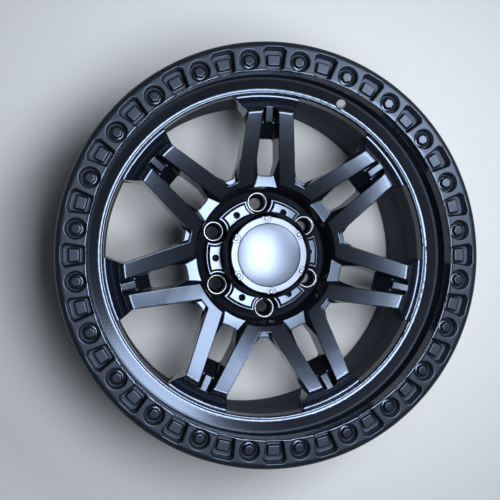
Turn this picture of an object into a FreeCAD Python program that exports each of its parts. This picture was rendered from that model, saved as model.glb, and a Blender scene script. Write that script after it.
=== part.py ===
import FreeCAD, Part
import os
from math import asin, cos, radians, sin, sqrt, tan

# Off-road car wheel, millimetres and degrees.
# z = 0 is the hub mounting face, +Z points out of the wheel's front, and angles count from +X.

# Ring at the front
ring_face_z = 145.0
ring_outer_r = 251.0
ring_inner_r = 214.9
ring_round_r = 8.5
edge_r = 1.2

# Rim contour
rim_width = 228.6
wheel_offset = -12.0
bead_seat_r = 231.0
bead_seat_width = 21.0
bead_seat_taper = 5.0
bead_corner_r = 6.5
hump_width = 5.0
hump_r = 3.0
flange_tip_r = 3.0
back_flange_r = 248.3
back_flange_t = 12.7
back_lip_r = 224.0
well_r = 209.5
well_wall = 8.6
well_front_z = 76.0
well_back_z = 40.0
barrel_r = 222.5
barrel_wall = 8.0
barrel_slope_length = 28.0
bend_r = 9.0
lip_z = 90.5
lip_round_r = 2.0
dish_in_r = 205.8
dish_out_r = 219.8
dish_slope = 28.0
dish_bend_r = 5.0
ring_under_z = 126.0

# Spokes, in pairs
pair_count = 7
valve_angle = 63.8
bar_width = 19.7
slit_root_r = 89.0
slit_root_gap = 34.0
slit_tip_r = 172.0
slit_tip_gap = 18.0
face_root_r = 90.0
face_root_z = 77.0
ridge_r = 174.5
ridge_z = 108.0
ridge_flat = 3.0
spoke_depth = 36.0
shoulder_r = 187.5
shoulder_z = 92.0
shoulder_bend_r = 3.0
shoulder_half_width = 38.7
ledge_r = 198.0
ledge_z = 83.0
ledge_slope = 15.0
rim_joint_height = 26.0
window_draft = 3.0
window_corner_r = 8.0

# Pads between the spoke roots and ledges in the crotches
pad_z = 70.0
pad_out_r = 99.8
pad_wall_slope = 25.0
crotch_r = 98.0
crotch_wall_slope = 12.0
crotch_ledge_out_r = 104.0
crotch_ledge_half_width = 6.0
window_flare_length = 20.0

# Rib at the tip of each slit
slit_end_r = 165.0
slit_end_slope = 35.0
tip_pocket_z = 86.0
rib_width = 8.7
rib_out_r = 183.0

# Hub
bore_r = 53.05
bore_length = 20.0
hub_back_r = 92.0
hub_floor_z = 33.0
hub_floor_slope = 22.0
recess_floor_r = 84.5
recess_pad_r = 87.0
lug_count = 6
lug_circle_r = 69.85
lug_hole_r = 7.5
lug_socket_r = 10.8
lug_ring_r = 12.8
lug_ring_edge = 0.5
lug_seat_z = 10.0
lug_seat_half_angle = 30.0
socket_clearance_r = 16.4
land_outer_r = 73.5
land_step = 2.1
land_wall_run = 2.1
land_step_z = 49.0
land_top_z = 53.0
dimple_circle_r = 61.5
dimple_r = 4.5
dimple_hole_r = 2.0
dimple_depth = 0.9
dimple_hole_depth = 9.0
back_pocket_depth = 16.0
back_pocket_r = 11.0

# Valve hole
valve_r = 211.3
valve_hole_r = 5.75
valve_bevel = 0.65

# Pockets of the ring
pocket_count = 24
pocket_turn = 90.0
pocket_outer_r = 242.3
pocket_inner_r = 216.6
pocket_corner_in = 3.4
pocket_outer_half = 9.4
pocket_wide_half = 13.3
pocket_inner_half = 9.6
pocket_depth = 12.0
pocket_draft = 6.0
pocket_edge = 1.0
pocket_corner_r = 2.0
boss_outer_r = 235.0
boss_inner_r = 223.6
boss_outer_half = 7.4
boss_inner_half = 6.7
boss_height = 4.2
boss_draft = 12.0

# Bolts of the ring
bolt_circle_r = 228.6
counterbore_r = 11.4
counterbore_depth = 11.0
bolt_flange_r = 8.7
bolt_flange_t = 1.6
bolt_flange_edge_t = 0.9
bolt_hex_flats = 10.6
bolt_hex_height = 6.2
bolt_hex_chamfer = 0.7
bolt_shank_r = 3.0
bolt_shank_length = 5.5
bolt_clearance = 0.15
bolt_hole_spare = 0.6

# Centre cap
cap_clearance = 0.3
cap_seat_r = 54.5
cap_wall = 5.0
cap_step_z = 94.0
cap_hex_flats = 97.2
cap_top_z = 103.0
cap_top_r = 46.5
cap_shoulder_slope = 58.0
cap_top_wall = 6.0
dome_r = 38.8
dome_recess_depth = 4.0
dome_edge_height = 3.6
dome_rise = 8.0
dome_clearance = 0.25
screw_circle_r = 45.0
screw_recess_r = 5.6
screw_recess_depth = 1.8
screw_head_r = 2.7
screw_head_height = 1.5
screw_shank_r = 1.5
screw_shank_length = 6.0
screw_clearance = 0.1
screw_hole_spare = 0.5
o_ring_r = 1.1
o_ring_z = 27.0
o_ring_squeeze = 0.05

# Sizes that follow from the ones above
front_bead_z = rim_width / 2 - wheel_offset
back_bead_z = -rim_width / 2 - wheel_offset
back_z = back_bead_z - back_flange_t
lip_r = well_r - well_wall
rim_joint_r = lip_r + well_wall / 2
pair_pitch = 360.0 / pair_count
first_pair_angle = valve_angle + pair_pitch / 2
lug_pitch = 360.0 / lug_count
first_lug_angle = valve_angle + lug_pitch / 2
pocket_pitch = 360.0 / pocket_count
first_bolt_angle = pocket_turn + pocket_pitch / 2
face_slope = (ridge_z - face_root_z) / (ridge_r - face_root_r)
shoulder_slope = (ridge_z - shoulder_z) / (shoulder_r - ridge_r - ridge_flat)
rib_top_z = ridge_z - (rib_out_r - ridge_r - ridge_flat) * shoulder_slope
slit_taper = (slit_root_gap - slit_tip_gap) / 2 / (slit_tip_r - slit_root_r)
bar_span = bar_width * sqrt(1 + slit_taper ** 2)
counterbore_z = ring_face_z - counterbore_depth
cap_skirt_r = cap_seat_r - cap_clearance
dome_recess_z = cap_top_z - dome_recess_depth
through = 10.0

Z_AXIS = FreeCAD.Vector(0, 0, 1)
ORIGIN = FreeCAD.Vector(0, 0, 0)


def outline(corners, place):
    """Closed wire through (u, v, corner radius) points, with a tangent arc at each rounded corner."""
    points = [FreeCAD.Vector(u, v, 0) for u, v, _ in corners]
    starts = []
    mids = []
    ends = []
    for i, (_, _, radius) in enumerate(corners):
        back = points[i - 1] - points[i]
        ahead = points[(i + 1) % len(points)] - points[i]
        half_angle = back.getAngle(ahead) / 2
        back.normalize()
        ahead.normalize()
        middle = (back + ahead) * 0.5
        reach = radius / tan(half_angle)
        starts.append(points[i] + back * reach)
        ends.append(points[i] + ahead * reach)
        if radius:
            middle.normalize()
            mids.append(points[i] + middle * (radius / sin(half_angle) - radius))
        else:
            mids.append(points[i])
    edges = []
    for i, (_, _, radius) in enumerate(corners):
        if radius:
            edges.append(Part.Arc(place(starts[i]), place(mids[i]), place(ends[i])).toShape())
        following = (i + 1) % len(corners)
        edges.append(Part.LineSegment(place(ends[i]), place(starts[following])).toShape())
    return Part.Wire(edges)


def turned(corners):
    """Solid of revolution about Z from (radius, height, corner radius) points."""
    wire = outline(corners, lambda p: FreeCAD.Vector(p.x, 0, p.y))
    return Part.Face(wire).revolve(ORIGIN, Z_AXIS, 360)


def flat_outline(corners, z):
    return outline(corners, lambda p: FreeCAD.Vector(p.x, p.y, z))


def grown(corners, distance):
    """A convex outline, drawn anticlockwise, with every side moved outwards."""
    sides = []
    for i, (u, v, _) in enumerate(corners):
        u_next, v_next, _ = corners[(i + 1) % len(corners)]
        length = sqrt((u_next - u) ** 2 + (v_next - v) ** 2)
        along = ((u_next - u) / length, (v_next - v) / length)
        start = (u + along[1] * distance, v - along[0] * distance)
        sides.append((start, along))
    moved = []
    for i, (_, _, radius) in enumerate(corners):
        (u1, v1), (a1, b1) = sides[i - 1]
        (u2, v2), (a2, b2) = sides[i]
        cross = a1 * b2 - b1 * a2
        step = ((u2 - u1) * b2 - (v2 - v1) * a2) / cross
        moved_radius = max(radius + distance, radius / 4) if radius else 0
        moved.append((u1 + a1 * step, v1 + b1 * step, moved_radius))
    return moved


def drafted(corners, z_drawn, z_low, z_high, draft):
    """Prism whose sides lean outwards going up, true to its outline at z_drawn."""
    run = tan(radians(draft))
    low = flat_outline(grown(corners, (z_low - z_drawn) * run), z_low)
    high = flat_outline(grown(corners, (z_high - z_drawn) * run), z_high)
    return Part.makeLoft([low, high], True, True)


def mirrored(half):
    """Outline symmetric about the U axis, from the points of its positive half, nearest first."""
    lower = [(u, -v, radius) for u, v, radius in half]
    return lower + half[::-1]


def around(shape, count, first_angle):
    """Copies of a shape on a circle about Z."""
    copies = []
    for i in range(count):
        copies.append(shape.copy().rotate(ORIGIN, Z_AXIS, first_angle + i * 360.0 / count))
    return copies


def cylinder(radius, z_low, z_high, x=0.0):
    return Part.makeCylinder(radius, z_high - z_low, FreeCAD.Vector(x, 0, z_low))


def cone(r_low, r_high, z_low, z_high, x=0.0):
    return Part.makeCone(r_low, r_high, z_high - z_low, FreeCAD.Vector(x, 0, z_low))


def dish_z(radius):
    """Height of the shallow dish between the lip and the ring."""
    return lip_z + (radius - dish_in_r) * tan(radians(dish_slope))


def floor_z(radius):
    """Height of the hub's floor, which is dished."""
    return hub_floor_z + (radius - lug_circle_r) * tan(radians(hub_floor_slope))


def face_z(radius):
    """Height of the spokes' sloping face."""
    return face_root_z + (radius - face_root_r) * face_slope


def half_gap(x):
    """Half the slit between the two bars of a pair."""
    return slit_root_gap / 2 - (x - slit_root_r) * slit_taper


def half_pair(x):
    """Half the width over the two bars of a pair."""
    return half_gap(x) + bar_span


def crotch_side():
    """Side of the V between two pairs in the V's own frame: half width at crotch_r, and its slope."""
    turn = radians(pair_pitch / 2)
    near = (slit_root_r, half_pair(slit_root_r))
    far = (ridge_r, half_pair(ridge_r))
    seen = []
    for x, y in (near, far):
        seen.append((x * cos(turn) + y * sin(turn), x * sin(turn) - y * cos(turn)))
    slope = (seen[1][1] - seen[0][1]) / (seen[1][0] - seen[0][0])
    return seen[0][1] + (crotch_r - seen[0][0]) * slope, slope


def rim_ring():
    """Ring, dish, bead seats, well and barrel, as one turned section."""
    seat_drop = bead_seat_width * tan(radians(bead_seat_taper))
    front_seat_end = front_bead_z - bead_seat_width
    back_seat_end = back_bead_z + bead_seat_width
    overhang = dish_out_r - ring_inner_r
    barrel_front_z = well_back_z - barrel_slope_length
    hump_slope_z = back_seat_end + 3 * hump_width
    return turned([
        (ring_inner_r, ring_face_z, edge_r),
        (ring_outer_r, ring_face_z, ring_round_r),
        (ring_outer_r, front_bead_z, flange_tip_r),
        (bead_seat_r, front_bead_z, bead_corner_r),
        (bead_seat_r - seat_drop, front_seat_end, hump_r),
        (bead_seat_r, front_seat_end - hump_width, hump_r),
        (well_r, well_front_z, bend_r),
        (well_r, well_back_z, bend_r),
        (barrel_r, barrel_front_z, bend_r),
        (barrel_r, hump_slope_z, hump_r),
        (bead_seat_r, back_seat_end + hump_width, hump_r),
        (bead_seat_r - seat_drop, back_seat_end, hump_r),
        (bead_seat_r, back_bead_z, bead_corner_r),
        (back_flange_r, back_bead_z, flange_tip_r),
        (back_flange_r, back_z, flange_tip_r),
        (back_lip_r, back_z, edge_r),
        (back_lip_r, back_seat_end, hump_r),
        (barrel_r - barrel_wall, hump_slope_z, hump_r),
        (barrel_r - barrel_wall, barrel_front_z, bend_r),
        (lip_r, well_back_z, bend_r),
        (lip_r, lip_z, lip_round_r),
        (dish_in_r, lip_z, dish_bend_r),
        (dish_out_r, dish_z(dish_out_r), edge_r),
        (dish_out_r, ring_under_z - overhang, edge_r),
        (ring_inner_r, ring_under_z, edge_r),
    ])


def spoke_disc():
    """Disc whose face slopes down to the hub and falls to a ledge at the rim."""
    inner_r = lug_circle_r
    back_z_at_ridge = ridge_z - spoke_depth
    ledge_top_z = ledge_z + (rim_joint_r - ledge_r) * tan(radians(ledge_slope))
    return turned([
        (inner_r, face_z(inner_r), 0),
        (inner_r, face_z(inner_r) - spoke_depth, 0),
        (ridge_r, back_z_at_ridge, bend_r),
        (rim_joint_r, ledge_z - rim_joint_height, 0),
        (rim_joint_r, ledge_top_z, 0),
        (ledge_r, ledge_z, edge_r),
        (shoulder_r, shoulder_z, shoulder_bend_r),
        (ridge_r + ridge_flat, ridge_z, edge_r),
        (ridge_r, ridge_z, edge_r),
    ])


def window_between_pairs():
    """Through window between two pairs, narrow at the crotch and closed by the rim."""
    crotch_half, side_slope = crotch_side()
    flare_r = crotch_ledge_out_r + window_flare_length
    turn = radians(pair_pitch / 2)
    bar_end = (ridge_r, half_pair(ridge_r))
    shoulder_end = (sqrt(ledge_r ** 2 - shoulder_half_width ** 2), shoulder_half_width)
    seen = []
    for x, y in (bar_end, shoulder_end):
        seen.append((x * cos(turn) + y * sin(turn), x * sin(turn) - y * cos(turn)))
    half = [
        (crotch_ledge_out_r, crotch_ledge_half_width, edge_r * 2),
        (flare_r, crotch_half + (flare_r - crotch_r) * side_slope, window_corner_r),
        (seen[0][0], seen[0][1], window_corner_r),
        (2 * seen[1][0] - seen[0][0], 2 * seen[1][1] - seen[0][1], 0),
    ]
    return drafted(mirrored(half), (face_root_z + ridge_z) / 2, 0, ridge_z + through, window_draft)


def slit_window():
    """Through slit between the two bars of a pair, with a sloping wall at its outer end."""
    drawn_z = (face_root_z + ridge_z) / 2
    flare_r = pad_out_r + window_flare_length
    wires = []
    for z in (hub_floor_z, ridge_z + through):
        lean = (z - drawn_z) * tan(radians(window_draft))
        end_r = slit_end_r + (z - tip_pocket_z) * tan(radians(slit_end_slope))
        half = [
            (pad_out_r - lean, half_gap(pad_out_r) - pad_wall_run() + lean, window_corner_r / 2),
            (flare_r, half_gap(flare_r) + lean, window_corner_r),
            (end_r, half_gap(end_r) + lean, window_corner_r / 2),
        ]
        wires.append(flat_outline(mirrored(half), z))
    return Part.makeLoft(wires, True, True)


def pad_wall_run():
    """How far a pad's sloping side reaches in at the pad's outer end."""
    return (face_z(pad_out_r) - pad_z) * tan(radians(pad_wall_slope))


def sloped_pocket(near, far, wall_slope):
    """Pocket down to the pads' level with plane sloping sides through two points of a bar's edge."""
    run = tan(radians(wall_slope))
    top_z = ridge_z + through
    wires = []
    for z in (pad_z, top_z):
        half = []
        for x, y, edge_z in (near, far):
            half.append((x, y + (z - edge_z) * run, 0))
        wires.append(flat_outline(mirrored(half), z))
    return Part.makeLoft(wires, True, True)


def pad_pocket():
    """Space over a pad, between the roots of a pair."""
    near_r = lug_circle_r
    far_r = pad_out_r + window_flare_length
    return sloped_pocket(
        (near_r, half_gap(near_r), face_z(near_r)),
        (far_r, half_gap(far_r), face_z(far_r)),
        pad_wall_slope,
    )


def crotch_pocket():
    """Space over the small ledge in the crotch between two pairs."""
    crotch_half, side_slope = crotch_side()
    far_r = crotch_ledge_out_r + window_flare_length
    return sloped_pocket(
        (crotch_r, crotch_half, face_z(crotch_r)),
        (far_r, crotch_half + (far_r - crotch_r) * side_slope, face_z(far_r)),
        crotch_wall_slope,
    )


def tip_pocket():
    """Space between the outer ends of a pair, in front of the shoulder."""
    inner_r = slit_end_r - through
    half = [
        (inner_r, half_gap(inner_r), 0),
        (rib_out_r, half_gap(rib_out_r), 0),
    ]
    return drafted(mirrored(half), ridge_z, tip_pocket_z, ridge_z + through, window_draft)


def tip_rib():
    """Rib that stands in the tip pocket and runs out over the shoulder."""
    half = [
        (slit_end_r, rib_width / 2, 0),
        (rib_out_r, rib_width / 2, rib_width / 4),
    ]
    low_z = tip_pocket_z - spoke_depth / 4
    rib = drafted(mirrored(half), rib_top_z, low_z, rib_top_z, -window_draft)
    slope_drop = (rib_out_r - slit_end_r + through) * face_slope
    wedge = Part.makePolygon([
        FreeCAD.Vector(slit_end_r - through, -rib_width, rib_top_z - slope_drop),
        FreeCAD.Vector(rib_out_r, -rib_width, rib_top_z),
        FreeCAD.Vector(slit_end_r - through, -rib_width, rib_top_z),
        FreeCAD.Vector(slit_end_r - through, -rib_width, rib_top_z - slope_drop),
    ])
    return rib.cut(Part.Face(wedge).extrude(FreeCAD.Vector(0, 2 * rib_width, 0)))


def hub_core():
    """Thick centre with the mounting face, the bore and the cap's seat."""
    joint_z = face_z(crotch_r) - spoke_depth / 2
    return turned([
        (bore_r, 0, 0),
        (hub_back_r, 0, edge_r),
        (crotch_r, joint_z, 0),
        (lug_circle_r, joint_z, 0),
        (lug_circle_r, hub_floor_z, 0),
        (cap_seat_r, hub_floor_z, 0),
        (cap_seat_r, bore_length, 0),
        (bore_r, bore_length, 0),
    ])


def hub_recess():
    """Well around the lug holes, open to the front."""
    top_z = ridge_z + through
    top_r = face_root_r + (top_z - face_root_z) * (face_root_r - recess_pad_r) / (face_root_z - pad_z)
    return turned([
        (bore_r, floor_z(bore_r), 0),
        (recess_floor_r, floor_z(recess_floor_r), edge_r * 2),
        (recess_pad_r, pad_z, 0),
        (top_r, top_z, 0),
        (bore_r, top_z, 0),
    ])


def hub_lands():
    """Raised lands between the lug holes, stepped at the edge and scalloped for a socket."""
    foot_z = floor_z(cap_seat_r) - edge_r
    step_r = land_outer_r - land_step
    low = turned([
        (cap_seat_r, foot_z, 0),
        (land_outer_r, foot_z, 0),
        (land_outer_r, land_step_z - edge_r / 2, 0),
        (land_outer_r - edge_r / 2, land_step_z, 0),
        (cap_seat_r, land_step_z, 0),
    ])
    high = turned([
        (cap_seat_r, land_step_z - edge_r, 0),
        (step_r, land_step_z - edge_r, 0),
        (step_r, land_step_z, 0),
        (step_r - land_wall_run, land_top_z, edge_r / 2),
        (cap_seat_r, land_top_z, edge_r),
    ])
    low_scallop = cylinder(socket_clearance_r, foot_z - edge_r, land_step_z + edge_r, lug_circle_r)
    foot_r = socket_clearance_r + land_step
    wall_slope = land_wall_run / (land_top_z - land_step_z)
    high_scallop = cone(foot_r - edge_r * wall_slope, foot_r + land_wall_run + edge_r * wall_slope,
                        land_step_z - edge_r, land_top_z + edge_r, lug_circle_r)
    low = low.cut(around(low_scallop, lug_count, first_lug_angle))
    high = high.cut(around(high_scallop, lug_count, first_lug_angle))
    lands = low.fuse(high)
    dimple = cone(dimple_hole_r, dimple_r, land_top_z - dimple_depth, land_top_z, dimple_circle_r)
    hole = cylinder(dimple_hole_r, land_top_z - dimple_hole_depth, land_top_z, dimple_circle_r)
    return lands.cut(around(dimple.fuse(hole), lug_count, first_lug_angle + lug_pitch / 2))


def lug_boss():
    """Flat ring around one lug hole, where it stands out of the dished floor."""
    return cylinder(lug_ring_r, floor_z(lug_circle_r - lug_ring_r) - edge_r, hub_floor_z, lug_circle_r)


def lug_hole():
    """Stepped hole for one lug nut: flat ring, socket bore, conical seat and stud hole."""
    seat_height = (lug_socket_r - lug_hole_r) / tan(radians(lug_seat_half_angle))
    top_z = floor_z(lug_circle_r + lug_ring_r) + edge_r
    hole = cylinder(lug_hole_r, -through, lug_seat_z, lug_circle_r)
    seat = cone(lug_hole_r, lug_socket_r, lug_seat_z, lug_seat_z + seat_height, lug_circle_r)
    socket = cylinder(lug_socket_r, lug_seat_z + seat_height, hub_floor_z, lug_circle_r)
    mouth_z = hub_floor_z - lug_ring_edge
    mouth = cone(lug_socket_r, lug_socket_r + lug_ring_edge, mouth_z, hub_floor_z, lug_circle_r)
    ring = cylinder(lug_ring_r, hub_floor_z, top_z, lug_circle_r)
    return hole.fuse([seat, socket, mouth, ring])


def back_pocket():
    """Rounded pocket in the mounting face between two lug holes."""
    return cylinder(back_pocket_r, -through, back_pocket_depth, lug_circle_r)


def valve_hole():
    """Hole for the valve, square to the dish, with a bevelled mouth."""
    mouth_r = valve_hole_r + 2 * valve_bevel
    down = FreeCAD.Vector(sin(radians(dish_slope)), 0, -cos(radians(dish_slope)))
    centre = FreeCAD.Vector(valve_r, 0, dish_z(valve_r))
    hole = Part.makeCylinder(valve_hole_r, bead_seat_r - lip_r, centre, down)
    mouth = Part.makeCone(mouth_r, valve_hole_r, 2 * valve_bevel, centre - down * valve_bevel, down)
    return hole.fuse(mouth).rotate(ORIGIN, Z_AXIS, valve_angle)


def ring_pocket():
    """Pocket of the ring, wide at the outside, with a low boss left standing in it."""
    half = [
        (pocket_inner_r, pocket_inner_half, pocket_corner_r),
        (pocket_outer_r - pocket_corner_in, pocket_wide_half, pocket_corner_r),
        (pocket_outer_r, pocket_outer_half, pocket_corner_r),
    ]
    floor_z = ring_face_z - pocket_depth
    edge_z = ring_face_z - pocket_edge
    corners = mirrored(half)
    space = drafted(corners, edge_z, floor_z, edge_z, pocket_draft)
    mouth = drafted(corners, edge_z, edge_z, ring_face_z + pocket_edge, 45.0)
    boss_half = [
        (boss_inner_r, boss_inner_half, edge_r),
        (boss_outer_r, boss_outer_half, edge_r),
    ]
    boss_top_z = floor_z + boss_height
    boss = drafted(mirrored(boss_half), boss_top_z, floor_z - pocket_edge, boss_top_z, -boss_draft)
    return space.fuse(mouth).cut(boss)


def bolt_seat():
    """Counterbore and blind hole for one bolt of the ring."""
    mouth = cone(counterbore_r, counterbore_r + 2 * pocket_edge,
                 ring_face_z - pocket_edge, ring_face_z + pocket_edge, bolt_circle_r)
    bore = cylinder(counterbore_r, counterbore_z, ring_face_z, bolt_circle_r)
    hole_low = counterbore_z - bolt_shank_length - bolt_hole_spare
    hole = cylinder(bolt_shank_r + bolt_clearance, hole_low, counterbore_z, bolt_circle_r)
    return bore.fuse([mouth, hole])


def wheel_casting():
    """The whole wheel as it is cast and machined, one solid."""
    windows = around(window_between_pairs(), pair_count, valve_angle)
    windows += around(slit_window(), pair_count, first_pair_angle)
    windows += around(crotch_pocket(), pair_count, valve_angle)
    windows += around(pad_pocket(), pair_count, first_pair_angle)
    windows += around(tip_pocket(), pair_count, first_pair_angle)
    disc = spoke_disc().cut(windows).fuse(around(tip_rib(), pair_count, first_pair_angle))
    ring_cuts = around(ring_pocket(), pocket_count, pocket_turn)
    ring_cuts += around(bolt_seat(), pocket_count, first_bolt_angle)
    ring = rim_ring().cut(ring_cuts)
    body = hub_core().fuse(disc).cut(hub_recess())
    bosses = around(lug_boss(), lug_count, first_lug_angle)
    body = body.fuse(bosses + [hub_lands(), ring])
    holes = around(lug_hole(), lug_count, first_lug_angle)
    holes += around(back_pocket(), lug_count, first_lug_angle + lug_pitch / 2)
    holes.append(valve_hole())
    return body.cut(holes).removeSplitter()


def hexagon(flats, z_low, z_high, x=0.0):
    """Hexagonal prism with a corner pointing along X."""
    corner_r = flats / 2 / cos(radians(30))
    corners = []
    for i in range(6):
        turn = radians(60 * i)
        corners.append((corner_r * cos(turn), corner_r * sin(turn), 0))
    prism = Part.Face(flat_outline(corners, z_low)).extrude(FreeCAD.Vector(0, 0, z_high - z_low))
    prism.translate(FreeCAD.Vector(x, 0, 0))
    return prism


def ring_bolt():
    """Short hex flange bolt, seated on the floor of its counterbore."""
    flange_z = counterbore_z + bolt_flange_t
    top_z = flange_z + bolt_hex_height
    corner_r = bolt_hex_flats / 2 / cos(radians(30))
    flange = cylinder(bolt_flange_r, counterbore_z, counterbore_z + bolt_flange_edge_t, bolt_circle_r)
    crown = cone(bolt_flange_r, corner_r, counterbore_z + bolt_flange_edge_t, flange_z, bolt_circle_r)
    head = hexagon(bolt_hex_flats, flange_z, top_z, bolt_circle_r)
    bevel_low_z = top_z - bolt_hex_height - bolt_hex_chamfer
    bevel = cone(corner_r + bolt_hex_height, corner_r - bolt_hex_chamfer, bevel_low_z, top_z, bolt_circle_r)
    shank = cylinder(bolt_shank_r, counterbore_z - bolt_shank_length, counterbore_z, bolt_circle_r)
    return flange.fuse([crown, head.common(bevel), shank]).removeSplitter()


def cap_body():
    """Tall cap: skirt in the hub, scalloped step, six-sided shoulder and round top with screw recesses."""
    inner_r = cap_skirt_r - cap_wall
    skirt = turned([
        (inner_r, bore_length, 0),
        (cap_skirt_r, bore_length, edge_r / 2),
        (cap_skirt_r, cap_step_z, edge_r / 2),
        (dome_r / 2, cap_step_z, 0),
        (dome_r / 2, cap_top_z - dome_recess_depth - cap_top_wall, 0),
        (inner_r, cap_top_z - dome_recess_depth - cap_top_wall, edge_r),
    ])
    shoulder_low_z = cap_step_z - edge_r
    shoulder_low_r = cap_top_r + (cap_top_z - shoulder_low_z) / tan(radians(cap_shoulder_slope))
    shoulder = turned([
        (0, shoulder_low_z, 0),
        (shoulder_low_r, shoulder_low_z, 0),
        (cap_top_r, cap_top_z, edge_r / 3),
        (0, cap_top_z, 0),
    ])
    sides = hexagon(cap_hex_flats, cap_step_z - 2 * edge_r, cap_top_z + edge_r)
    sides.rotate(ORIGIN, Z_AXIS, first_lug_angle)
    floor = cylinder(cap_skirt_r - cap_wall / 2, dome_recess_z - cap_top_wall, cap_step_z)
    body = skirt.fuse([floor, shoulder.common(sides)])
    cuts = around(cylinder(socket_clearance_r, hub_floor_z, cap_step_z + through, lug_circle_r),
                  lug_count, first_lug_angle)
    screw_seat_z = cap_top_z - screw_recess_depth
    cuts += around(cylinder(screw_recess_r, screw_seat_z, cap_top_z + through, screw_circle_r),
                   lug_count, first_lug_angle)
    hole_low = screw_seat_z - screw_shank_length - screw_hole_spare
    cuts += around(cylinder(screw_shank_r + screw_clearance, hole_low, cap_top_z, screw_circle_r),
                   lug_count, first_lug_angle)
    cuts.append(cylinder(dome_r + dome_clearance, dome_recess_z, cap_top_z + through))
    groove_r = cap_seat_r - 2 * o_ring_r - 2 * o_ring_squeeze
    groove_low = o_ring_z - o_ring_r - o_ring_squeeze
    groove_high = o_ring_z + o_ring_r + o_ring_squeeze
    groove_core = cylinder(groove_r, groove_low, groove_high)
    cuts.append(cylinder(cap_seat_r, groove_low, groove_high).cut(groove_core))
    return body.cut(cuts).removeSplitter()


def cap_dome():
    """Domed disc in the top of the cap."""
    edge_z = dome_recess_z + dome_edge_height
    sphere_r = (dome_r ** 2 + dome_rise ** 2) / (2 * dome_rise)
    half_turn = asin(dome_r / sphere_r) / 2
    apex = FreeCAD.Vector(0, 0, edge_z + dome_rise)
    middle_z = edge_z + dome_rise - sphere_r * (1 - cos(half_turn))
    middle = FreeCAD.Vector(sphere_r * sin(half_turn), 0, middle_z)
    rim_top = FreeCAD.Vector(dome_r, 0, edge_z)
    rim_low = FreeCAD.Vector(dome_r, 0, dome_recess_z)
    centre_low = FreeCAD.Vector(0, 0, dome_recess_z)
    wire = Part.Wire([
        Part.Arc(apex, middle, rim_top).toShape(),
        Part.LineSegment(rim_top, rim_low).toShape(),
        Part.LineSegment(rim_low, centre_low).toShape(),
        Part.LineSegment(centre_low, apex).toShape(),
    ])
    return Part.Face(wire).revolve(ORIGIN, Z_AXIS, 360)


def cap_screw():
    """Small button screw in its recess at the cap's edge."""
    seat_z = cap_top_z - screw_recess_depth
    crown_z = seat_z + screw_head_height / 2
    head = cylinder(screw_head_r, seat_z, crown_z, screw_circle_r)
    crown = cone(screw_head_r, screw_head_r * 0.7, crown_z, seat_z + screw_head_height, screw_circle_r)
    shank = cylinder(screw_shank_r, seat_z - screw_shank_length, seat_z, screw_circle_r)
    return head.fuse([crown, shank]).removeSplitter()


def cap_o_ring():
    """Rubber ring in the groove of the skirt, touching the wall of the seat."""
    centre_r = cap_seat_r - o_ring_r - o_ring_squeeze
    return Part.makeTorus(centre_r, o_ring_r, FreeCAD.Vector(0, 0, o_ring_z))


def main():
    os.makedirs("parts", exist_ok=True)
    nodes = {
        "wheel_casting": wheel_casting(),
        "ring_bolts": Part.makeCompound(around(ring_bolt(), pocket_count, first_bolt_angle)),
        "cap_body": cap_body(),
        "cap_dome": cap_dome(),
        "cap_screws": Part.makeCompound(around(cap_screw(), lug_count, first_lug_angle)),
        "cap_o_ring": cap_o_ring(),
    }
    for name, shape in nodes.items():
        print(name, shape.isValid(), len(shape.Solids), round(shape.Volume / 1000.0, 1), "cm3")
        shape.exportStep(os.path.join("parts", name + ".step"))


main()
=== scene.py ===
import math
import bmesh
import bpy
from mathutils import Matrix, Vector


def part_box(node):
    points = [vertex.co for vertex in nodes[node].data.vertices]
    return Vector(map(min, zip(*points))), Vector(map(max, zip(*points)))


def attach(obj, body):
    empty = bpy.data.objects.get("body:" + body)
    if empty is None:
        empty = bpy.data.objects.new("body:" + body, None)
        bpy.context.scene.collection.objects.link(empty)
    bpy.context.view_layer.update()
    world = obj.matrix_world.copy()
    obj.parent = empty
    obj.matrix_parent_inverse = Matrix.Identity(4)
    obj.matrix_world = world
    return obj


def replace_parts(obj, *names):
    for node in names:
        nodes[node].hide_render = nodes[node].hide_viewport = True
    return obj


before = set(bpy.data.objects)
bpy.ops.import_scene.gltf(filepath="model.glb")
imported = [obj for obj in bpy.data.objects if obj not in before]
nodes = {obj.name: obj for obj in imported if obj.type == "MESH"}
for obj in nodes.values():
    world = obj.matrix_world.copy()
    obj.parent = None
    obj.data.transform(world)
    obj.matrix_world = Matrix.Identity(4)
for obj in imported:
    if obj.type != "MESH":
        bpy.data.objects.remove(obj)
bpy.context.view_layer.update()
scene = bpy.context.scene

# Places on the wheel where the paint changes, in metres
RING_INNER_R = 0.2149
RING_DRY_FROM = RING_INNER_R + 0.001
RING_DRY_TO = RING_INNER_R + 0.005
BARREL_INNER_R = 0.200
BARREL_TINT_FROM = BARREL_INNER_R - 0.012
BARREL_TINT_TO = BARREL_INNER_R - 0.004
BARREL_FRONT_Z = 0.076
BARREL_BACK_Z = BARREL_FRONT_Z - 0.006
HUB_R = 0.092
HUB_INSIDE_R = HUB_R - 0.004

# Rounding that the paint and the cap's finish leave on edges
EDGE_ROUND = 0.0020
HUB_EDGE_ROUND = 0.0010
CAP_EDGE_ROUND = 0.0004
PAINT_EDGE_SAMPLES = 16
CAP_EDGE_SAMPLES = 6

# Real sizes of the patterns; peel and metal grain are drawn coarser than real ones, so that they show
CLOUD_SIZE = 0.045
PEEL_SIZE = 0.0024
GRAIN_SIZE = 0.0033
TURNING_SIZE = 0.0008
RUBBER_GRAIN = 0.0015
PAPER_GRAIN = 0.004
PATTERN_DEPTH = 0.0002
PEEL_STRENGTH = 0.05
GRAIN_STRENGTH = 0.03
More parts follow.
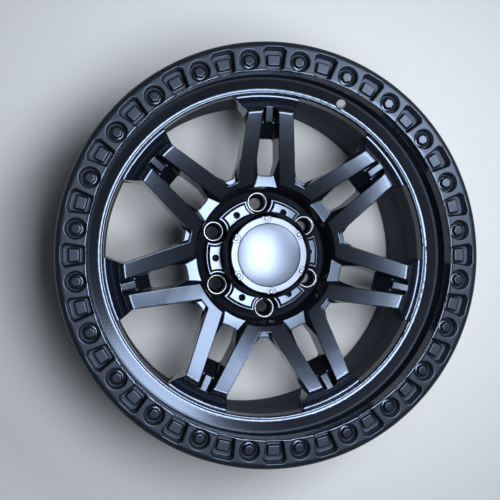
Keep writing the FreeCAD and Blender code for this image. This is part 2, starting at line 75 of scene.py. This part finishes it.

# Painted shade in crevices: how near another face counts, and the open share where they are darkest and
# where they end
POCKET_SIZE = 0.0038
POCKET_DARK = 0.5
POCKET_CLEAR = 0.72
POCKET_GLEAM = 0.02
CREVICE_SIZE = 0.0016
CREVICE_DARK = 0.45
CREVICE_CLEAR = 0.8
SHADE_SAMPLES = 8

# Lug holes and cap, as in the solids, and the dome's crown
LUG_COUNT = 6
LUG_CIRCLE_R = 0.06985
FIRST_LUG_ANGLE = math.radians(93.8)
LUG_RING_R = 0.01205
LUG_RING_WIDTH = 0.0014
LUG_RING_THICK = 0.0004
LUG_RING_SEGMENTS = 72
HUB_FLOOR_Z = 0.033
CAP_SILVER_Z = 0.1008
DOME_R = 0.0388
DOME_LOW_Z = 0.099
DOME_EDGE_Z = 0.1026
DOME_RISE = 0.0023
DOME_EDGE_ROUND = 0.0006
DOME_CROWN_STEPS = 28
DOME_EDGE_STEPS = 5
DOME_TURN_STEPS = 128
DOME_SHARP_ANGLE = math.radians(40)
WELD_DISTANCE = 1e-6

# Camera: the photo's viewpoint, in the part's frame
CAMERA_AT = Vector((-0.1361, 0.0025, 0.9245))
CAMERA_DIRECTION = Vector((0.1368, 0.0044, -1.0))
CAMERA_UP = Vector((0.0, 1.0, 0.0))
FOCAL_PIXELS = 680.0
PICTURE_PIXELS = 500.0
SENSOR_WIDTH_MM = 36.0
CLIP_START = 0.01
CLIP_END = 50.0

# Studio
FLOOR_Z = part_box("wheel_casting")[0].z
FLOOR_HALF = 6.0
LAMP_Z = 0.93
LAMP_COLOUR = (0.88, 0.94, 1.0)
WALL_COLOUR = (0.16, 0.165, 0.175, 1.0)
CEILING_COLOUR = (0.80, 0.88, 1.0, 1.0)
CEILING_STRENGTH = 0.03
WALL_TO = 0.12
CEILING_FROM = 0.5

# Colours, in sRGB, and the roughness of the cap's black skirt
PAINT_BLACK = "0d0f14"
PAINT_CLOUD = "14161d"
# Painted cool-blue tint laid on every reflection of the coat
PAINTED_COOL_TINT = "c8dcff"
BARREL_BROWN = "1a1715"
# The cap's black skirt, and also the colour of the painted shade in the cap's crevices
CAP_BLACK_AND_SHADE = "0c0d12"
CAP_SILVER = "545964"
DOME_SILVER = "4e5563"
SCREW_SILVER = "60646e"
SKIRT_ROUGHNESS = 0.5

# Sockets of the Mix node for colours, and the vector that leaves out the height above the floor
MIX_FACTOR, MIX_FIRST, MIX_SECOND, MIX_RESULT = 0, 6, 7, 2
ACROSS_WHEEL = (1.0, 1.0, 0.0)


def linear(hex_colour):
    """Linear RGBA from an sRGB hex colour."""
    channels = []
    for i in (0, 2, 4):
        value = int(hex_colour[i:i + 2], 16) / 255.0
        channels.append(value / 12.92 if value <= 0.04045 else ((value + 0.055) / 1.055) ** 2.4)
    return (*channels, 1.0)


def add(tree, kind, feeds=(), **values):
    """A node with its settings, and what feeds its sockets: another node's output or a fixed value."""
    node = tree.nodes.new(kind)
    for key, value in values.items():
        name = key.replace("_", " ")
        if name in node.inputs:
            node.inputs[name].default_value = value
        else:
            setattr(node, key, value)
    for source, socket in feeds:
        if isinstance(source, bpy.types.NodeSocket):
            tree.links.new(source, node.inputs[socket])
        else:
            node.inputs[socket].default_value = source
    return node


def new_material(name):
    """An empty node material and its tree."""
    material = bpy.data.materials.new(name)
    material.use_nodes = True
    tree = material.node_tree
    tree.nodes.clear()
    return material, tree


def finish_material(tree, shader):
    """Shows the shader on the surface."""
    add(tree, "ShaderNodeOutputMaterial", [(shader.outputs["BSDF"], "Surface")])


def satin_black_paint(name, roughness, ring_roughness, barrel_roughness):
    """Satin black powder coat, sprayed and baked: blue-black, soft reflections with a painted cool-blue
    tint, and a faint peel.

    The bolted ring is drier, and the coat inside the barrel brownish and rougher, so both spread light more.
    Pockets and corners, which the studio's light hardly reaches, lose their gleam; this is painted shade.
    """
    material, tree = new_material(name)
    place = add(tree, "ShaderNodeTexCoord").outputs["Object"]
    flat = add(tree, "ShaderNodeVectorMath", [(place, 0), (ACROSS_WHEEL, 1)], operation="MULTIPLY")
    length = add(tree, "ShaderNodeVectorMath", [(flat.outputs["Vector"], 0)], operation="LENGTH")
    radius = length.outputs["Value"]
    height = add(tree, "ShaderNodeSeparateXYZ", [(place, "Vector")])

    far_out = add(tree, "ShaderNodeMapRange", [(radius, "Value")],
                  From_Min=BARREL_TINT_FROM, From_Max=BARREL_TINT_TO)
    far_back = add(tree, "ShaderNodeMapRange", [(height.outputs["Z"], "Value")],
                   From_Min=BARREL_FRONT_Z, From_Max=BARREL_BACK_Z)
    barrel = add(tree, "ShaderNodeMath", [(far_out.outputs["Result"], 0), (far_back.outputs["Result"], 1)],
                 operation="MULTIPLY").outputs["Value"]
    sheen = add(tree, "ShaderNodeMapRange", [(radius, "Value")],
                From_Min=RING_DRY_FROM, From_Max=RING_DRY_TO, To_Min=roughness, To_Max=ring_roughness)
    dull = add(tree, "ShaderNodeMapRange", [(barrel, "Value"), (sheen.outputs["Result"], "To Min")],
               To_Max=barrel_roughness)

    clouds = add(tree, "ShaderNodeTexNoise", [(place, "Vector")], Scale=1 / CLOUD_SIZE, Detail=2.0)
    black = add(tree, "ShaderNodeMix",
                [(clouds.outputs["Fac"], MIX_FACTOR), (linear(PAINT_BLACK), MIX_FIRST),
                 (linear(PAINT_CLOUD), MIX_SECOND)], data_type="RGBA")
    colour = add(tree, "ShaderNodeMix",
                 [(barrel, MIX_FACTOR), (black.outputs[MIX_RESULT], MIX_FIRST),
                  (linear(BARREL_BROWN), MIX_SECOND)], data_type="RGBA")

    peel = add(tree, "ShaderNodeTexNoise", [(place, "Vector")], Scale=1 / PEEL_SIZE, Detail=3.0)
    edge = add(tree, "ShaderNodeMapRange", [(radius, "Value")],
               From_Min=HUB_INSIDE_R, From_Max=HUB_R, To_Min=HUB_EDGE_ROUND, To_Max=EDGE_ROUND)
    rounded = add(tree, "ShaderNodeBevel", [(edge.outputs["Result"], "Radius")], samples=PAINT_EDGE_SAMPLES)
    bump = add(tree, "ShaderNodeBump",
               [(peel.outputs["Fac"], "Height"), (rounded.outputs["Normal"], "Normal")],
               Strength=PEEL_STRENGTH, Distance=PATTERN_DEPTH)
    # Painted shade: the coat's gleam fades where other faces are near, in pockets and corners
    shade_openness = add(tree, "ShaderNodeAmbientOcclusion", samples=SHADE_SAMPLES, Distance=POCKET_SIZE)
    gleam = add(tree, "ShaderNodeMapRange", [(shade_openness.outputs["AO"], "Value")],
                From_Min=POCKET_DARK, From_Max=POCKET_CLEAR, To_Min=POCKET_GLEAM, To_Max=1.0)
    # Painted reflection colour: the specular tint turns the coat's reflections cool blue
    shader = add(tree, "ShaderNodeBsdfPrincipled",
                 [(colour.outputs[MIX_RESULT], "Base Color"), (dull.outputs["Result"], "Roughness"),
                  (gleam.outputs["Result"], "Specular IOR Level"), (bump.outputs["Normal"], "Normal")],
                 Metallic=0.0, IOR=1.5, Specular_Tint=linear(PAINTED_COOL_TINT))
    finish_material(tree, shader)
    return material


def satin_silver(name, base, roughness, silver_above):
    """Satin silver metal, fine-blasted: a soft wide highlight, painted shade as dark lines in crevices, dull
    black below.
    """
    material, tree = new_material(name)
    place = add(tree, "ShaderNodeTexCoord").outputs["Object"]
    height = add(tree, "ShaderNodeSeparateXYZ", [(place, "Vector")])
    top = add(tree, "ShaderNodeMath", [(height.outputs["Z"], 0), (silver_above, 1)],
              operation="GREATER_THAN").outputs["Value"]
    finish = add(tree, "ShaderNodeMix",
                 [(top, MIX_FACTOR), (linear(CAP_BLACK_AND_SHADE), MIX_FIRST), (linear(base), MIX_SECOND)],
                 data_type="RGBA")
    # Painted shade: the colour goes to black where other faces are near, in crevices and around the screws
    shade_openness = add(tree, "ShaderNodeAmbientOcclusion", samples=SHADE_SAMPLES, Distance=CREVICE_SIZE)
    clear = add(tree, "ShaderNodeMapRange", [(shade_openness.outputs["AO"], "Value")],
                From_Min=CREVICE_DARK, From_Max=CREVICE_CLEAR)
    colour = add(tree, "ShaderNodeMix",
                 [(clear.outputs["Result"], MIX_FACTOR), (linear(CAP_BLACK_AND_SHADE), MIX_FIRST),
                  (finish.outputs[MIX_RESULT], MIX_SECOND)], data_type="RGBA")
    dull = add(tree, "ShaderNodeMapRange", [(top, "Value")], To_Min=SKIRT_ROUGHNESS, To_Max=roughness)
    grain = add(tree, "ShaderNodeTexNoise", [(place, "Vector")], Scale=1 / GRAIN_SIZE, Detail=2.0)
    rounded = add(tree, "ShaderNodeBevel", samples=CAP_EDGE_SAMPLES, Radius=CAP_EDGE_ROUND)
    bump = add(tree, "ShaderNodeBump",
               [(grain.outputs["Fac"], "Height"), (rounded.outputs["Normal"], "Normal")],
               Strength=GRAIN_STRENGTH, Distance=PATTERN_DEPTH)
    shader = add(tree, "ShaderNodeBsdfPrincipled",
                 [(colour.outputs[MIX_RESULT], "Base Color"), (dull.outputs["Result"], "Roughness"),
                  (bump.outputs["Normal"], "Normal")], Metallic=1.0)
    finish_material(tree, shader)
    return material


def grained(name, first, second, grain, roughness, metallic=0.0):
    """A plain surface whose colour wavers a little with its grain."""
    material, tree = new_material(name)
    place = add(tree, "ShaderNodeTexCoord").outputs["Object"]
    speckle = add(tree, "ShaderNodeTexNoise", [(place, "Vector")], Scale=1 / grain, Detail=2.0)
    colour = add(tree, "ShaderNodeMix",
                 [(speckle.outputs["Fac"], MIX_FACTOR), (linear(first), MIX_FIRST),
                  (linear(second), MIX_SECOND)], data_type="RGBA")
    shader = add(tree, "ShaderNodeBsdfPrincipled", [(colour.outputs[MIX_RESULT], "Base Color")],
                 Metallic=metallic, Roughness=roughness)
    finish_material(tree, shader)
    return material


# The casting's coat: mirrors the softboxes as pale blue-white flats between almost black ones; part of that
# blue is a painted tint
paint = satin_black_paint("satin black powder coat", roughness=0.18, ring_roughness=0.42,
                          barrel_roughness=0.8)
# Black oxide on the bolts: an even, slightly duller gleam on every head
bolt_finish = satin_black_paint("black bolt finish", roughness=0.3, ring_roughness=0.3, barrel_roughness=0.3)
# The cap's ring and the screws: pale, wide highlight, with painted shade as thin dark lines in the crevices
silver = satin_silver("satin silver cap", CAP_SILVER, roughness=0.34, silver_above=CAP_SILVER_Z)
screw_steel = satin_silver("stainless screw", SCREW_SILVER, roughness=0.34, silver_above=CAP_SILVER_Z)
# The dome: smoother, so its bright spot falls off towards blue-grey edges
dome_silver = satin_silver("satin silver dome", DOME_SILVER, roughness=0.27, silver_above=DOME_LOW_Z)
# Turned metal at the lug holes: a thin, clean, bright line
machined = grained("machined aluminium", "bcc0c6", "d4d8de", TURNING_SIZE, roughness=0.3, metallic=1.0)
# Moulded rubber: dull, without a highlight
rubber = grained("black rubber", "101010", "181818", RUBBER_GRAIN, roughness=0.7)
# Matt paper: pale and even
floor_paper = grained("pale studio floor", "e9e9eb", "efeff1", PAPER_GRAIN, roughness=0.85)

LOOKS = {
    "wheel_casting": paint,
    "ring_bolts": bolt_finish,
    "cap_body": silver,
    "cap_screws": screw_steel,
    "cap_o_ring": rubber,
}


def dress(name, material):
    """Gives a CAD node its one material."""
    mesh = nodes[name].data
    mesh.materials.clear()
    mesh.materials.append(material)


def add_piece(name, mesh):
    """A modelled piece that rides on the wheel."""
    piece = bpy.data.objects.new(name, mesh)
    scene.collection.objects.link(piece)
    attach(piece, "root")
    return piece


def dome_outline():
    """Half of the dome's section, as radius and height, from the crown's middle round to the underside."""
    sphere_r = (DOME_R ** 2 + DOME_RISE ** 2) / (2 * DOME_RISE)
    rim_r = DOME_R - DOME_EDGE_ROUND
    outline = []
    for i in range(DOME_CROWN_STEPS + 1):
        r = rim_r * i / DOME_CROWN_STEPS
        outline.append((r, DOME_EDGE_Z + math.sqrt(sphere_r ** 2 - r ** 2) - (sphere_r - DOME_RISE)))
    rim_z = outline[-1][1]
    for i in range(1, DOME_EDGE_STEPS + 1):
        turn = math.radians(90 * i / DOME_EDGE_STEPS)
        outline.append((rim_r + DOME_EDGE_ROUND * math.sin(turn),
                        rim_z - DOME_EDGE_ROUND * (1 - math.cos(turn))))
    return outline + [(DOME_R, DOME_LOW_Z), (0.0, DOME_LOW_Z)]


def make_dome():
    """Low domed disc in the cap's top, turned from its outline."""
    shape = bmesh.new()
    points = [shape.verts.new((r, 0.0, z)) for r, z in dome_outline()]
    edges = [shape.edges.new(pair) for pair in zip(points, points[1:])]
    bmesh.ops.spin(shape, geom=points + edges, cent=(0, 0, 0), axis=(0, 0, 1), angle=math.tau,
                   steps=DOME_TURN_STEPS)
    bmesh.ops.remove_doubles(shape, verts=shape.verts, dist=WELD_DISTANCE)
    bmesh.ops.recalc_face_normals(shape, faces=shape.faces)
    for face in shape.faces:
        face.smooth = True
    mesh = bpy.data.meshes.new("dome")
    shape.to_mesh(mesh)
    shape.free()
    mesh.set_sharp_from_angle(angle=DOME_SHARP_ANGLE)
    mesh.materials.append(dome_silver)
    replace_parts(add_piece("dome", mesh), "cap_dome")


def lug_ring_tree():
    """Geometry nodes that put one flat ring at each lug hole, and the identifiers of its named inputs."""
    tree = bpy.data.node_groups.new("lug rings", "GeometryNodeTree")
    tree.interface.new_socket("Geometry", in_out="OUTPUT", socket_type="NodeSocketGeometry")
    inputs = {}
    for name, kind in (("Count", "NodeSocketInt"), ("Circle Radius", "NodeSocketFloat"),
                       ("Ring Radius", "NodeSocketFloat"), ("Width", "NodeSocketFloat"),
                       ("Thickness", "NodeSocketFloat")):
        inputs[name] = tree.interface.new_socket(name, in_out="INPUT", socket_type=kind).identifier
    given = add(tree, "NodeGroupInput").outputs
    places = add(tree, "GeometryNodeMeshCircle",
                 [(given["Count"], "Vertices"), (given["Circle Radius"], "Radius")])
    path = add(tree, "GeometryNodeCurvePrimitiveCircle", [(given["Ring Radius"], "Radius")],
               Resolution=LUG_RING_SEGMENTS)
    section = add(tree, "GeometryNodeCurvePrimitiveQuadrilateral",
                  [(given["Width"], "Width"), (given["Thickness"], "Height")])
    ring = add(tree, "GeometryNodeCurveToMesh",
               [(path.outputs["Curve"], "Curve"), (section.outputs["Curve"], "Profile Curve")])
    rings = add(tree, "GeometryNodeInstanceOnPoints",
                [(places.outputs["Mesh"], "Points"), (ring.outputs["Mesh"], "Instance")])
    turned = add(tree, "GeometryNodeTransform", [(rings.outputs["Instances"], "Geometry")],
                 Translation=(0.0, 0.0, HUB_FLOOR_Z), Rotation=(0.0, 0.0, FIRST_LUG_ANGLE))
    real = add(tree, "GeometryNodeRealizeInstances", [(turned.outputs["Geometry"], "Geometry")])
    dressed = add(tree, "GeometryNodeSetMaterial", [(real.outputs["Geometry"], "Geometry")],
                  Material=machined)
    add(tree, "NodeGroupOutput", [(dressed.outputs["Geometry"], "Geometry")])
    return tree, inputs


def make_lug_rings():
    """Bright machined ring around the mouth of each lug hole."""
    tree, inputs = lug_ring_tree()
    maker = bpy.data.objects.new("lug ring maker", bpy.data.meshes.new("lug ring maker"))
    scene.collection.objects.link(maker)
    modifier = maker.modifiers.new("rings", "NODES")
    modifier.node_group = tree
    for name, size in (("Count", LUG_COUNT), ("Circle Radius", LUG_CIRCLE_R), ("Ring Radius", LUG_RING_R),
                       ("Width", LUG_RING_WIDTH), ("Thickness", LUG_RING_THICK)):
        modifier[inputs[name]] = size
    mesh = bpy.data.meshes.new_from_object(maker.evaluated_get(bpy.context.evaluated_depsgraph_get()))
    bpy.data.objects.remove(maker)
    add_piece("lug_rings", mesh)


def make_floor():
    """Pale floor that the wheel lies on."""
    mesh = bpy.data.meshes.new("floor")
    corners = [(x * FLOOR_HALF, y * FLOOR_HALF, FLOOR_Z) for x, y in ((-1, -1), (1, -1), (1, 1), (-1, 1))]
    mesh.from_pydata(corners, [], [(0, 1, 2, 3)])
    mesh.materials.append(floor_paper)
    floor = bpy.data.objects.new("floor", mesh)
    scene.collection.objects.link(floor)


def softbox(name, at, towards, width, height, radiance):
    """Rectangular lamp whose face has the given radiance."""
    lamp = bpy.data.lights.new(name, "AREA")
    lamp.shape = "RECTANGLE"
    lamp.size = width
    lamp.size_y = height
    lamp.energy = math.pi * radiance * width * height
    lamp.color = LAMP_COLOUR
    holder = bpy.data.objects.new(name, lamp)
    holder.location = at
    holder.rotation_euler = (Vector(towards) - Vector(at)).to_track_quat("-Z", "Y").to_euler()
    scene.collection.objects.link(holder)


def make_world():
    """Studio room: grey walls at the horizon and a dark ceiling."""
    world = bpy.data.worlds.new("studio")
    world.use_nodes = True
    scene.world = world
    tree = world.node_tree
    tree.nodes.clear()
    direction = add(tree, "ShaderNodeTexCoord").outputs["Generated"]
    steepness = add(tree, "ShaderNodeSeparateXYZ", [(direction, "Vector")]).outputs["Z"]
    rise = add(tree, "ShaderNodeMapRange", [(steepness, "Value")], From_Min=WALL_TO, From_Max=CEILING_FROM)
    wall = add(tree, "ShaderNodeBackground", Color=WALL_COLOUR, Strength=1.0)
    ceiling = add(tree, "ShaderNodeBackground", Color=CEILING_COLOUR, Strength=CEILING_STRENGTH)
    room = add(tree, "ShaderNodeMixShader",
               [(rise.outputs["Result"], 0), (wall.outputs["Background"], 1),
                (ceiling.outputs["Background"], 2)])
    add(tree, "ShaderNodeOutputWorld", [(room.outputs["Shader"], "Surface")])


def make_camera():
    """Camera at the photo's viewpoint."""
    data = bpy.data.cameras.new("camera")
    data.sensor_width = SENSOR_WIDTH_MM
    data.lens = FOCAL_PIXELS / PICTURE_PIXELS * SENSOR_WIDTH_MM
    data.clip_start = CLIP_START
    data.clip_end = CLIP_END
    back = -CAMERA_DIRECTION.normalized()
    right = CAMERA_UP.cross(back).normalized()
    up = back.cross(right)
    pose = Matrix((right, up, back)).transposed().to_4x4()
    pose.translation = CAMERA_AT
    camera = bpy.data.objects.new("camera", data)
    camera.matrix_world = pose
    scene.collection.objects.link(camera)
    scene.camera = camera


for node_name, look in LOOKS.items():
    dress(node_name, look)
make_dome()
make_lug_rings()
make_floor()
make_world()
make_camera()
softbox("overhead softbox", at=(0.055, 0.01, LAMP_Z), towards=(0.055, 0.01, 0.0),
        width=0.27, height=0.38, radiance=23.0)
softbox("side softbox", at=(0.46, 0.32, LAMP_Z), towards=(0.0, 0.0, 0.05),
        width=0.34, height=0.34, radiance=13.0)
softbox("centre fill", at=(0.25, -0.06, LAMP_Z), towards=(0.25, -0.06, 0.0),
        width=0.28, height=0.28, radiance=4.0)

scene.view_settings.view_transform = "Standard"
